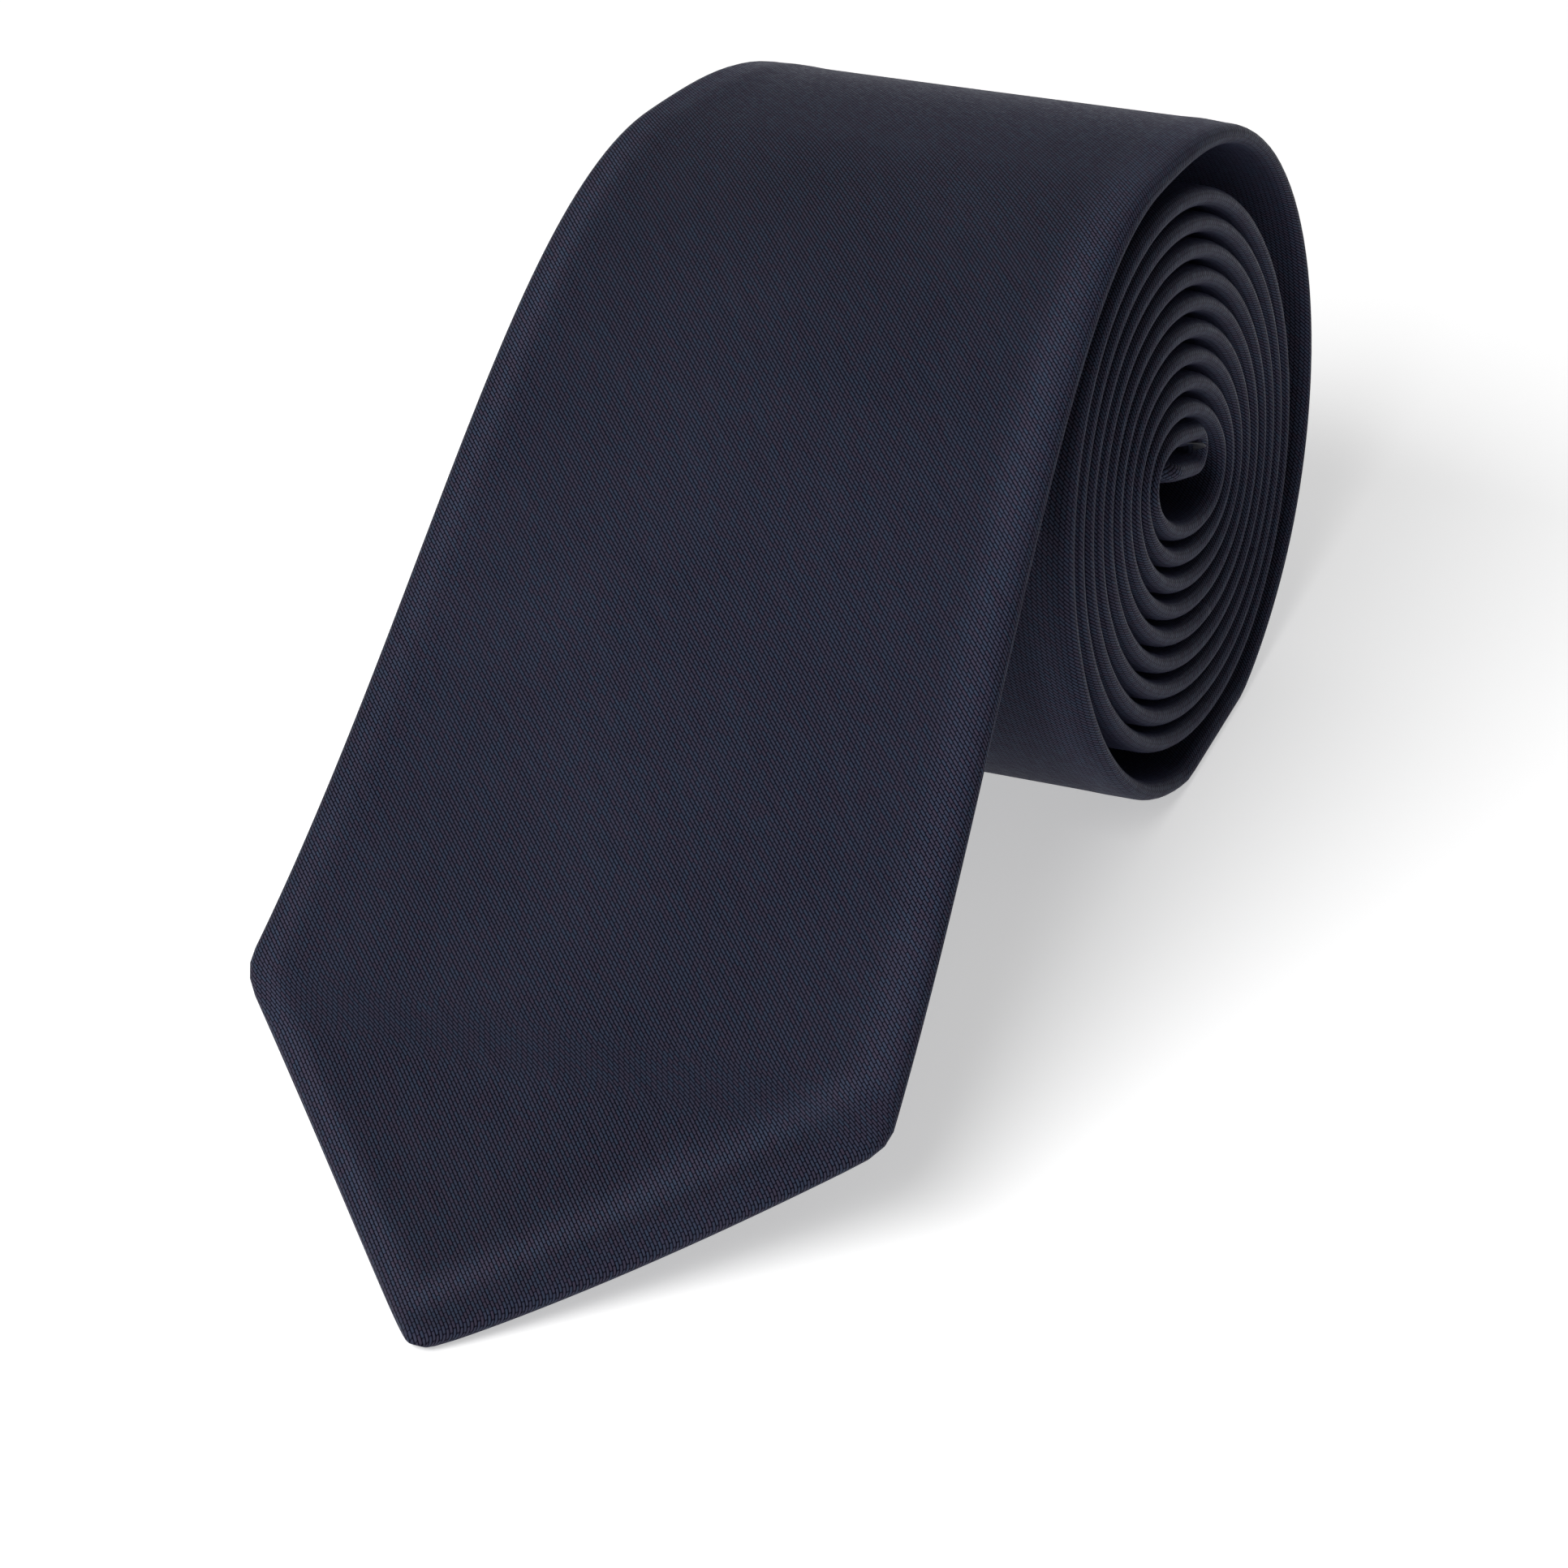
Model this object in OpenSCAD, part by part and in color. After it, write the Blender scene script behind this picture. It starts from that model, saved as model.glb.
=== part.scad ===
// A pressed satin necktie, rolled up from its narrow end, with the wide blade left free.
// X runs across the tie, -Y points the way the blade's tip points, and Z is up.
// The origin is at the middle of the footprint, on the table.

/* [Tie] */
// Width of the blade at its two corners
blade_w = 70; // [55:1:90]
// Width that the tie narrows to at the neck
neck_w = 40; // [30:1:45]
// Width of the tail at its two corners
tail_w = 38; // [32:1:50]
// Length over which the blade loses most of its extra width
taper_len = 201; // [200:1:500]
// Thickness of the pressed tie
tie_thick = 2.15; // [1.6:0.05:3]
// Thickness of the satin
satin_thick = 0.4; // [0.3:0.05:0.5]
// Length of the blade panel, from the tip
blade_panel_len = 800; // [600:10:900]
// Length of the neck panel
neck_panel_len = 300; // [150:10:350]

/* [Roll] */
// Whole turns wound inside the loose outer turn
turns = 10; // [6:1:11]
// Room left between one turn and the next
layer_gap = 0.64; // [0.4:0.01:1]
// Mean radius of the innermost turn
core_r = 7.02; // [6:0.01:9]
// How much longer and lower than a circle every turn is
core_flat = 2.59; // [2.3:0.01:3.3]
// Lean of the turns' long axis
roll_lean = -22.4; // [-45:0.1:0]
// Distance that the middle shifts back with each turn inwards
turn_drift = 0.04; // [0:0.01:0.15]
// Slack of the loose outer turn behind the roll
back_slack = 6; // [2:0.1:9]
// Slack of the loose outer turn over the roll
top_slack = 1.15; // [0.4:0.05:3]
// Slack of the loose outer turn under the front of the roll
front_slack = 2.2; // [0.8:0.1:3]
// Height by which the bottom of the roll is pressed flat
foot_press = 1; // [0:0.1:1.2]

/* [Blade] */
// Distance from the tip to the front of the roll, along the table
tip_reach = 86.5; // [60:0.1:110]
// Slope of the blade at its tip
tip_slope = 10.9; // [5:0.1:30]
// Straightness of the blade near its tip
tip_pull = 51.6; // [20:0.1:60]
// Straightness of the blade where it leaves the roll
top_pull = 37.1; // [15:0.1:50]
// Height of the pointed end
point_h = 33.5; // [25:0.1:50]
// Turn of the pointed end, so that the right edge can lie flush
blade_turn = 3.91; // [0:0.01:5]
// Roundness of the blade's corners and tip
corner_round = 1.2; // [1:0.1:4]
// Lean of the roll's right end away from upright
end_lean = 0.066; // [0:0.001:0.12]
// Distance that the loose outer turn lies in from the roll's right end
top_inset = 0; // [0:0.1:4]
// Distance of the bend from the front of the roll, along the table
bend_gap = 9; // [6:1:20]
// Largest lift of the free blade
blade_lift_max = 40; // [10:5:60]

/* [Trimmings] */
// Thickness of the lining cloth behind each point
tipping_thick = 0.3; // [0.2:0.05:0.5]
// Distance from the satin's edge to the lining cloth
tipping_inset = 10; // [5:0.5:15]
// Length of the blade's lining, from the tip
blade_tipping_len = 73; // [50:1:76]
// Length of the tail's lining, from the tip
tail_tipping_len = 60; // [30:1:70]
// Length of a bar tack, across the tie
tack_w = 9; // [5:0.5:14]
// Thickness of the thread in a bar tack
tack_thick = 0.6; // [0.4:0.1:1]
// Thickness of the slip stitch's thread
stitch_thick = 0.3; // [0.2:0.05:0.5]
// Distance from the tip to the keeper loop
keeper_at = 200; // [185:5:215]
// Width of the keeper loop, along the tie
keeper_w = 9; // [6:0.5:14]
// Length of the keeper loop, across the tie
keeper_len = 40; // [25:1:50]
// Thickness of the keeper loop
keeper_thick = 0.8; // [0.5:0.1:1.2]
// Length of the label, along the tie
label_len = 26; // [15:1:30]
// Width of the label, across the tie
label_w = 22; // [12:1:30]
// Thickness of the label
label_thick = 0.4; // [0.3:0.05:0.6]

/* [Hidden] */
navy = "#2d2e3c";
navy_lining = "#23242f";
wool = "#d8d2c4";
thread = "#30313f";
label_colour = "#1c1d27";
// Gap between the interlining and the satin round it
fill_gap = 0.05;
// Gap where the envelope is divided at the bend and beside a seam
cut_gap = 0.3;
seam_w = 0.8;
seam_sink = 0.1;
// Gap between a trimming and the satin it lies on
trim_gap = 0.04;
step_deg = 15;
bezier_steps = 26;
core_count = 30;

half = tie_thick / 2;
pitch = tie_thick + layer_gap;

// The way: one number, p, runs from the tail's tip in the core to the blade's tip.
// From p_in to p_top it is the angle wound, which ends at the top of the loose turn.
p_front = 180;
p_top = 450;
p_tip = 550;
p_in = 90 + roll_lean - 360 * (turns - 1);
front_r = core_r + pitch * (p_front - p_in) / 360;
// The folded end inside the core: a straight, a hairpin, a leg, a hairpin back and a tongue
fold_run = 3.2;
fold_r = half + 0.825;
back_fold_r = half + 0.275;
fold_leg = 8.4;
// The tongue runs on until it would meet the inner side of the turn round it
room_long = core_r + core_flat + 0.75 * pitch - half;
room_low = core_r - core_flat + 0.5 * pitch - half;
tongue_low = 2 * fold_r + 2 * back_fold_r + half - (core_r - core_flat);
tongue_end = room_long * sqrt(max(0, 1 - pow((tongue_low + 0.08) / room_low, 2)));
tongue_len = tongue_end - fold_run + fold_leg;
leg_at = fold_run + PI * fold_r;
back_fold_at = leg_at + fold_leg;
tongue_at = back_fold_at + PI * back_fold_r;
p_tail = p_in - tongue_at - tongue_len;

function slack_part(p) = max(0, (p - p_front) / (p_top - p_front));
function front_bump(u) = u < 0.5 ? pow(sin(360 * u), 2) : 0;
function slack(p) =
    let (u = slack_part(p))
    back_slack * pow(sin(180 * pow(u, 2.3)), 2) + top_slack * u * u + front_slack * front_bump(u);
function turn_r(p) = front_r + pitch * (p - p_front) / 360 + slack(p);
function turn_mid(p) = [turn_drift * (p_front - min(p, p_front)) / 360, 0];
function leaned(v) = [
    v[0] * cos(roll_lean) - v[1] * sin(roll_lean),
    v[0] * sin(roll_lean) + v[1] * cos(roll_lean)
];
function wound(p) =
    let (r = turn_r(p), t = p - roll_lean)
    turn_mid(p) + leaned([(r + core_flat) * cos(t), (r - core_flat) * sin(t)]);

// The lowest of the wound points is pressed flat on the table
low_point = min([for (p = [p_front : 3 : p_top]) wound(p)[1]]);
roll_y = -min([for (p = [p_front - 40 : 3 : p_front + 40]) wound(p)[0]]);
roll_z = half - low_point - foot_press;
function pressed(v) = [v[0], max(v[1], half)];
function on_roll(p) = pressed(wound(p) + [roll_y, roll_z]);

function core_point(q) =
    q < fold_run ? [q, 0] :
    q < leg_at ?
        let (a = (q - fold_run) / fold_r * 180 / PI) [fold_run + fold_r * sin(a), fold_r * (cos(a) - 1)] :
    q < back_fold_at ? [fold_run - (q - leg_at), -2 * fold_r] :
    q < tongue_at ?
        let (a = (q - back_fold_at) / back_fold_r * 180 / PI)
        [fold_run - fold_leg - back_fold_r * sin(a), -2 * fold_r + back_fold_r * (cos(a) - 1)] :
    [fold_run - fold_leg + q - tongue_at, -2 * fold_r - 2 * back_fold_r];
function on_core(p) = wound(p_in) + leaned(core_point(p_in - p)) + [roll_y, roll_z];

top_at = on_roll(p_top);
top_dir = let (d = on_roll(p_top) - on_roll(p_top - 2)) d / norm(d);
tip_at = [-tip_reach, half];
tip_hold = tip_at + tip_pull * [cos(tip_slope), sin(tip_slope)];
top_hold = top_at + top_pull * top_dir;
function bezier(t) =
    pow(1 - t, 3) * tip_at + 3 * t * pow(1 - t, 2) * tip_hold
    + 3 * t * t * (1 - t) * top_hold + pow(t, 3) * top_at;
function on_ramp(p) = bezier((p_tip - p) / (p_tip - p_top));

function way(p) = p > p_top ? on_ramp(p) : p >= p_in ? on_roll(p) : on_core(p);
function way_dir(p) =
    let (d = way(min(p + 0.2, p_tip)) - way(max(p - 0.2, p_tail))) d / norm(d);
// Points away from the middle of the roll, so it is the tie's right side
function way_out(p) = let (d = way_dir(p)) [d[1], -d[0]];

// Every p at which the way is measured, and the length from the blade's tip to it
ramp_steps = [for (i = [0 : bezier_steps]) p_tip - (p_tip - p_top) * pow(i / bezier_steps, 1.2)];
turn_steps = [for (p = [p_top - step_deg : -step_deg : p_in + 1]) p];
core_steps = [for (i = [0 : core_count]) p_in - (p_in - p_tail) * i / core_count];
steps = concat(ramp_steps, turn_steps, core_steps);
function run_to(i) = norm(way(steps[i]) - way(steps[i - 1]));
function sums(i = 0, total = 0) =
    i == len(steps) ? [] : let (now = i == 0 ? 0 : total + run_to(i)) concat([now], sums(i + 1, now));
runs = sums();
tie_len = runs[len(runs) - 1];
length_of_p = [for (i = [len(steps) - 1 : -1 : 0]) [steps[i], runs[i]]];
p_of_length = [for (i = [0 : len(steps) - 1]) [runs[i], steps[i]]];
function from_tip(p) = lookup(p, length_of_p);
function p_at(s) = lookup(s, p_of_length);

// The cut outline, across the tie at a length s from the blade's tip
right_x = blade_w / 2;
turn_share = tan(blade_turn);
apex_x = right_x - blade_w / 2 - point_h * turn_share;
right_corner = point_h - blade_w / 2 * turn_share;
left_corner = point_h + blade_w / 2 * turn_share;
tail_apex_x = right_x - tail_w / 2;
function soft_min(a, b) =
    let (h = max(2 * corner_round - abs(a - b), 0)) min(a, b) - h * h / (8 * corner_round);
function rounded(s) = let (t = max(s, 0) + 0.15) sqrt(t * t + 2 * corner_round * t);
function width_at(s) =
    neck_w + (blade_w - neck_w) * exp(-max(s - right_corner, 0) / taper_len)
    + (tail_w - neck_w) * pow(min(s / tie_len, 1), 6);
function right_flat(s) =
    let (
        blade = (right_x - apex_x) * rounded(s) / (right_corner + corner_round),
        tail = tail_apex_x - apex_x + rounded(tie_len - s)
    )
    apex_x + soft_min(soft_min(blade, right_x - apex_x), tail);
function left_flat(s) =
    let (
        blade = (apex_x + right_x) * rounded(s) / (left_corner + corner_round),
        side = apex_x - right_x + width_at(s),
        tail = apex_x - tail_apex_x + rounded(tie_len - s)
    )
    apex_x - soft_min(soft_min(blade, side), tail);
// The roll's end leans, and its loose turn lies a little inside it
loose_end = from_tip(p_front + 60);
function side_shift(p) =
    let (s = from_tip(p), u = min(max((s - right_corner) / (loose_end - right_corner), 0), 1))
    -end_lean * (way(p)[1] - roll_z) - top_inset * sin(180 * u);
function right_edge(p) = right_flat(from_tip(p)) + side_shift(p);
function left_edge(p) = left_flat(from_tip(p)) + side_shift(p);

// Footprint, for the origin
right_most = max([for (p = steps) right_edge(p)]);
left_most = min([for (p = steps) left_edge(p)]);
back_most = max([for (p = steps) way(p)[0] + half * way_out(p)[0]]);
front_most = min([for (p = steps) way(p)[0] + half * min(way_out(p)[0], -way_out(p)[0])]);
centre = [(right_most + left_most) / 2, (back_most + front_most) / 2];

// A point at x across the tie, and h outwards from its middle, at p. Between two steps it lies
// on the straight run from one to the other, so that every piece follows the same faces.
function spot_at(i, x, h) =
    let (w = way(steps[i]) + h * way_out(steps[i])) [x - centre[0], w[0] - centre[1], w[1]];
step_of_p = [for (i = [len(steps) - 1 : -1 : 0]) [steps[i], i]];
function spot(p, x, h) =
    let (n = lookup(p, step_of_p), i = min(floor(n), len(steps) - 2), share = n - i)
    (1 - share) * spot_at(i, x, h) + share * spot_at(i + 1, x, h);

// One cross-section, six points: flat faces and a rounded fold at each edge
function fold_in(p, inset) = min(half, 0.2 * (right_edge(p) - left_edge(p) - 2 * inset));
function section(p, inset) =
    let (
        l = left_edge(p) + inset,
        r = right_edge(p) - inset,
        h = half - inset,
        f = fold_in(p, inset)
    )
    [
        spot(p, l + f, h), spot(p, r - f, h), spot(p, r, 0),
        spot(p, r - f, -h), spot(p, l + f, -h), spot(p, l, 0)
    ];

// The p values of a stretch, from the length a to the length b
function between(a, b) = concat(
    [p_at(a)],
    [for (i = [0 : len(steps) - 1]) if (runs[i] > a + 0.2 && runs[i] < b - 0.2) steps[i]],
    [p_at(b)]
);

// A solid swept through rings of n points each
function ring_sides(rings, n, start, flip) = [
    for (i = [0 : rings - 2], j = [0 : n - 1])
        let (
            a = start + i * n + j,
            b = start + i * n + (j + 1) % n,
            quad = [a, b, b + n, a + n]
        )
        flip ? [quad[3], quad[2], quad[1], quad[0]] : quad
];
function ring_cap(n, at, flip) = [
    flip ? [for (j = [0 : n - 1]) at + j] : [for (j = [n - 1 : -1 : 0]) at + j]
];
function rim(n, outer, inner, flip) = [
    for (j = [0 : n - 1])
        let (k = (j + 1) % n, quad = [outer + j, outer + k, inner + k, inner + j])
        flip ? quad : [quad[3], quad[2], quad[1], quad[0]]
];
module swept(sections) {
    n = len(sections[0]);
    count = len(sections);
    polyhedron(
        [for (s = sections, v = s) v],
        concat(ring_cap(n, 0, true), ring_sides(count, n, 0, true), ring_cap(n, (count - 1) * n, false))
    );
}

// A sleeve of satin between two lengths. A closed end is a pressed point.
module sleeve(a, b, closed_a = false, closed_b = false, sink = 0) {
    cavity_a = closed_a ? a + hem_run : a;
    cavity_b = closed_b ? b - hem_run : b;
    outer = [for (p = between(a, b)) section(p, sink)];
    inner = [for (p = between(cavity_a, cavity_b)) section(p, satin_thick)];
    outer_last = (len(outer) - 1) * 6;
    inner_first = len(outer) * 6;
    inner_last = inner_first + (len(inner) - 1) * 6;
    polyhedron(
        [for (s = concat(outer, inner), v = s) v],
        concat(
            ring_sides(len(outer), 6, 0, true),
            ring_sides(len(inner), 6, inner_first, false),
            closed_a
                ? concat(ring_cap(6, 0, true), ring_cap(6, inner_first, false))
                : rim(6, 0, inner_first, true),
            closed_b
                ? concat(ring_cap(6, outer_last, false), ring_cap(6, inner_last, true))
                : rim(6, outer_last, inner_last, false)
        )
    );
}
hem_run = 8;

// The bend: where the free blade turns against the roll
bend_at = -bend_gap;
function ramp_p(y, low = p_top, high = p_tip, n = 30) =
    let (m = (low + high) / 2)
    n == 0 ? m : way(m)[0] > y ? ramp_p(y, m, high, n - 1) : ramp_p(y, low, m, n - 1);
bend_s = from_tip(ramp_p(bend_at));
bend_p = p_at(bend_s);
bend_axis = spot(bend_p, right_x, half);
blade_seam_s = blade_panel_len;
tail_seam_s = blade_panel_len + neck_panel_len;

module blade_envelope_free() {
    color(navy) sleeve(0, bend_s - cut_gap / 2, closed_a = true);
}

module blade_envelope_rolled() {
    color(navy) sleeve(bend_s + cut_gap / 2, blade_seam_s - seam_w / 2);
}

module neck_envelope() {
    color(navy) sleeve(blade_seam_s + seam_w / 2, tail_seam_s - seam_w / 2);
}

module tail_envelope() {
    color(navy) sleeve(tail_seam_s + seam_w / 2, tie_len, closed_b = true);
}

// A seam is a ring of stitches that draws two panels together, a little sunk
module panel_seam(s) {
    sleeve(s - seam_w / 2, s + seam_w / 2, sink = seam_sink);
}

module blade_neck_seam() {
    color(thread) panel_seam(blade_seam_s);
}

module neck_tail_seam() {
    color(thread) panel_seam(tail_seam_s);
}

module interlining(a, b) {
    swept([for (p = between(a, b)) section(p, satin_thick + fill_gap)]);
}

module interlining_free() {
    color(wool) interlining(hem_run + 1, bend_s - cut_gap / 2);
}

module interlining_rolled() {
    color(wool) interlining(bend_s + cut_gap / 2, tie_len - hem_run - 1);
}

// A thin piece on the back of the tie, which is its inner side in the roll
function patch_ring(p, l, r, low, thick) = [
    spot(p, l, -half - low), spot(p, r, -half - low),
    spot(p, r, -half - low - thick), spot(p, l, -half - low - thick)
];
module patch(a, b, l, r, thick, low = trim_gap) {
    swept([for (p = between(a, b)) patch_ring(p, l, r, low, thick)]);
}

// The lining follows the point's two edges, and narrows to the bar tack where the flaps meet
function lining_half(s, start, stop) =
    let (spread = (s - start) * 0.9, close = (stop - s) * 0.6 + tack_w / 3) min(spread + 0.8, close);
module blade_tipping() {
    start = tipping_inset * 1.5;
    color(navy_lining) swept([
        for (p = between(start, blade_tipping_len))
            let (s = from_tip(p), m = apex_x + s * turn_share + side_shift(p))
            let (w = lining_half(s, start, blade_tipping_len))
            patch_ring(p, m - w, m + w, trim_gap, tipping_thick)
    ]);
}

module tail_tipping() {
    start = tipping_inset;
    color(navy_lining) swept([
        for (p = between(tie_len - tail_tipping_len, tie_len - start))
            let (
                s = tie_len - from_tip(p),
                m = tail_apex_x + side_shift(p),
                w = lining_half(s, start, tail_tipping_len)
            )
            patch_ring(p, m - w, m + w, trim_gap, tipping_thick)
    ]);
}

// The middle of the back, where the two flaps meet
function back_mid(p) = (right_edge(p) + left_edge(p)) / 2;
module slip_stitch(a, b) {
    color(thread) swept([
        for (p = between(a, b))
            patch_ring(p, back_mid(p) - stitch_thick, back_mid(p) + stitch_thick, trim_gap, stitch_thick)
    ]);
}

module slip_stitch_free() {
    slip_stitch(blade_tipping_len + 4, bend_s - cut_gap / 2);
}

module slip_stitch_rolled() {
    slip_stitch(bend_s + cut_gap / 2, keeper_at - 1);
}

module bar_tack(s) {
    m = back_mid(p_at(s));
    patch(s, s + 1.6, m - tack_w / 2, m + tack_w / 2, tack_thick);
}

module blade_bar_tack() {
    color(thread) bar_tack(blade_tipping_len + 1);
}

module tail_bar_tack() {
    color(thread) bar_tack(tie_len - tail_tipping_len - 3);
}

module keeper_loop() {
    m = back_mid(p_at(keeper_at));
    color(navy) patch(keeper_at, keeper_at + keeper_w, m - keeper_len / 2, m + keeper_len / 2, keeper_thick);
}

module label() {
    s = keeper_at + keeper_w + 1;
    m = back_mid(p_at(s + label_len / 2));
    color(label_colour) patch(s, s + label_len, m - label_w / 2, m + label_w / 2, label_thick);
}

blade_envelope_free();
blade_envelope_rolled();
neck_envelope();
tail_envelope();
interlining_free();
interlining_rolled();
blade_neck_seam();
neck_tail_seam();
blade_tipping();
tail_tipping();
slip_stitch_free();
slip_stitch_rolled();
blade_bar_tack();
tail_bar_tack();
keeper_loop();
label();
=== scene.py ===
import math

import bmesh
import bpy
import numpy as np
from mathutils import Matrix, Vector


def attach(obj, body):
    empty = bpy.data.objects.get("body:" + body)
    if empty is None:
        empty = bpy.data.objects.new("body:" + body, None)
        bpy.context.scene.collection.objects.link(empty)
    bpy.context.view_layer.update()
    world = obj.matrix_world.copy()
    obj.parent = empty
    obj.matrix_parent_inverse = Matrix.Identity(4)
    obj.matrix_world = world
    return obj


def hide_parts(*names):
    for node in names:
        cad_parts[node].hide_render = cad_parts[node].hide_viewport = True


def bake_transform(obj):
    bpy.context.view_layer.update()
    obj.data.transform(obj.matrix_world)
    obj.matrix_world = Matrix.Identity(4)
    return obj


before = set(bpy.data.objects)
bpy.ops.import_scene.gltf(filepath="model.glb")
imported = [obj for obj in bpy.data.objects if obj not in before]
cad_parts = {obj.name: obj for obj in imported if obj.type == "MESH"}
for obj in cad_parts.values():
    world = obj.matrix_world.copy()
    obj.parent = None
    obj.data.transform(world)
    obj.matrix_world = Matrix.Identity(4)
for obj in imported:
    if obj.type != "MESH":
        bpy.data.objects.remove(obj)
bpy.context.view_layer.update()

# ---------------------------------------------------------------------------------------------
# The camera. It looks down on the tie from in front and to the right, through a long lens that
# leans a little, so that the rolled end and the top of the blade are both in full view.
# ---------------------------------------------------------------------------------------------
camera_at = Vector((0.18285, -0.40715, 0.30142))
camera_turn = math.radians(23.98)
camera_tilt = math.radians(32.87)
camera_lean = math.radians(2.95)

back = Vector((
    math.sin(camera_turn) * math.cos(camera_tilt),
    -math.cos(camera_turn) * math.cos(camera_tilt),
    math.sin(camera_tilt),
))
level = Vector((0, 0, 1)).cross(back).normalized()
upright = back.cross(level)
right = math.cos(camera_lean) * level - math.sin(camera_lean) * upright
up = math.sin(camera_lean) * level + math.cos(camera_lean) * upright

camera_data = bpy.data.cameras.new("camera")
camera_data.sensor_width = 36
camera_data.lens = 117.4
camera_data.clip_start = 0.01
camera = bpy.data.objects.new("camera", camera_data)
bpy.context.scene.collection.objects.link(camera)
camera.matrix_world = Matrix.Translation(camera_at) @ Matrix((right, up, back)).transposed().to_4x4()
bpy.context.scene.camera = camera

# ---------------------------------------------------------------------------------------------
# Blade panel. The wide end of the envelope: silk satin cut on the bias, its two sides folded
# over the interlining to meet at the middle of the back. It is pressed, then wound up from the
# narrow end, and its pointed end lies free down to the table. All sizes here are millimetres.
# ---------------------------------------------------------------------------------------------
blade_w = 70.0
neck_w = 40.0
tail_w = 38.0
taper_len = 201.0
tie_thick = 2.15
satin_thick = 0.4
blade_panel_len = 800.0
neck_panel_len = 300.0

turns = 10
layer_gap = 0.64
core_r = 7.02
core_flat = 2.59
roll_lean = -22.4
turn_drift = 0.04
back_slack = 6.0
top_slack = 1.15
front_slack = 2.2
foot_press = 1.0

tip_reach = 86.5
tip_slope = 10.9
tip_pull = 51.6
top_pull = 37.1
point_h = 33.5
blade_turn = 3.91
corner_round = 1.2
end_lean = 0.066

half = tie_thick / 2
pitch = tie_thick + layer_gap
p_front = 180.0
p_top = 450.0
p_tip = 550.0
p_in = 90 + roll_lean - 360 * (turns - 1)
front_r = core_r + pitch * (p_front - p_in) / 360
# The folded end inside the core: a straight, a hairpin, a leg, a hairpin back and a tongue,
# which runs on until it would meet the inner side of the turn round it
fold_run = 3.2
fold_r = half + 0.825
back_fold_r = half + 0.275
fold_leg = 8.4
room_long = core_r + core_flat + 0.75 * pitch - half
room_low = core_r - core_flat + 0.5 * pitch - half
tongue_low = 2 * fold_r + 2 * back_fold_r + half - (core_r - core_flat)
tongue_end = room_long * math.sqrt(1 - ((tongue_low + 0.08) / room_low) ** 2)
tongue_len = round(tongue_end - fold_run + fold_leg, 4)
leg_at = fold_run + math.pi * fold_r
back_fold_at = leg_at + fold_leg
tongue_at = back_fold_at + math.pi * back_fold_r
p_tail = p_in - tongue_at - tongue_len


def sin_deg(a):
    return np.sin(np.radians(a))


def cos_deg(a):
    return np.cos(np.radians(a))


def leaned(a, b):
    """The two numbers as a point, turned by the lean of the roll's long axis."""
    c, s = cos_deg(roll_lean), sin_deg(roll_lean)
    return np.stack([a * c - b * s, a * s + b * c], -1)


def wound(p):
    """The turns' own line: an oval spiral, with the slack of the loose outer turn."""
    u = np.maximum((p - p_front) / (p_top - p_front), 0)
    slack = back_slack * sin_deg(180 * u ** 2.3) ** 2 + top_slack * u * u
    slack = slack + np.where(u < 0.5, front_slack * sin_deg(360 * u) ** 2, 0)
    r = front_r + pitch * (p - p_front) / 360 + slack
    t = p - roll_lean
    spiral = leaned((r + core_flat) * cos_deg(t), (r - core_flat) * sin_deg(t))
    drift = turn_drift * (p_front - np.minimum(p, p_front)) / 360
    return spiral + np.stack([drift, 0 * drift], -1)


roll_y = -wound(np.arange(p_front - 40, p_front + 41, 3.0))[:, 0].min()
roll_z = half - wound(np.arange(p_front, p_top + 1, 3.0))[:, 1].min() - foot_press


def on_roll(p):
    """The turns in their place, pressed flat where they rest on the table."""
    at = wound(p) + [roll_y, roll_z]
    at[..., 1] = np.maximum(at[..., 1], half)
    return at


def on_core(p):
    """Inside the innermost turn: a short straight, then the end folded forth and back."""
    q = p_in - p
    a = np.degrees(np.clip((q - fold_run) / fold_r, 0, math.pi))
    b = np.degrees(np.clip((q - back_fold_at) / back_fold_r, 0, math.pi))
    along = np.minimum(q, fold_run) + fold_r * sin_deg(a) - back_fold_r * sin_deg(b)
    along = along - np.clip(q - leg_at, 0, fold_leg) + np.maximum(q - tongue_at, 0)
    down = fold_r * (cos_deg(a) - 1) + back_fold_r * (cos_deg(b) - 1)
    return on_roll(np.array([p_in]))[0] + leaned(along, down)


top_at = on_roll(np.array([p_top]))[0]
top_dir = top_at - on_roll(np.array([p_top - 2]))[0]
top_dir = top_dir / np.linalg.norm(top_dir)
tip_at = np.array([-tip_reach, half])
tip_hold = tip_at + tip_pull * np.array([cos_deg(tip_slope), sin_deg(tip_slope)])
top_hold = top_at + top_pull * top_dir


def on_ramp(p):
    """The free blade, from the top of the roll down to its tip on the table."""
    t = ((p_tip - p) / (p_tip - p_top))[:, None]
    ends = (1 - t) ** 3 * tip_at + t ** 3 * top_at
    return ends + 3 * t * (1 - t) ** 2 * tip_hold + 3 * t * t * (1 - t) * top_hold


def way(p):
    """The tie's middle line from the side, as (y, z): the ramp, then the turns, then the core."""
    at = on_roll(np.clip(p, p_in, p_top))
    ramp, core = p > p_top, p < p_in
    at[ramp] = on_ramp(p[ramp])
    at[core] = on_core(p[core])
    return at


def way_out(p):
    """The side of the tie that faces away from the middle of the roll."""
    d = way(np.minimum(p + 0.2, p_tip)) - way(np.maximum(p - 0.2, p_tail))
    d /= np.linalg.norm(d, axis=1)[:, None]
    return np.stack([d[:, 1], -d[:, 0]], -1)


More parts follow.
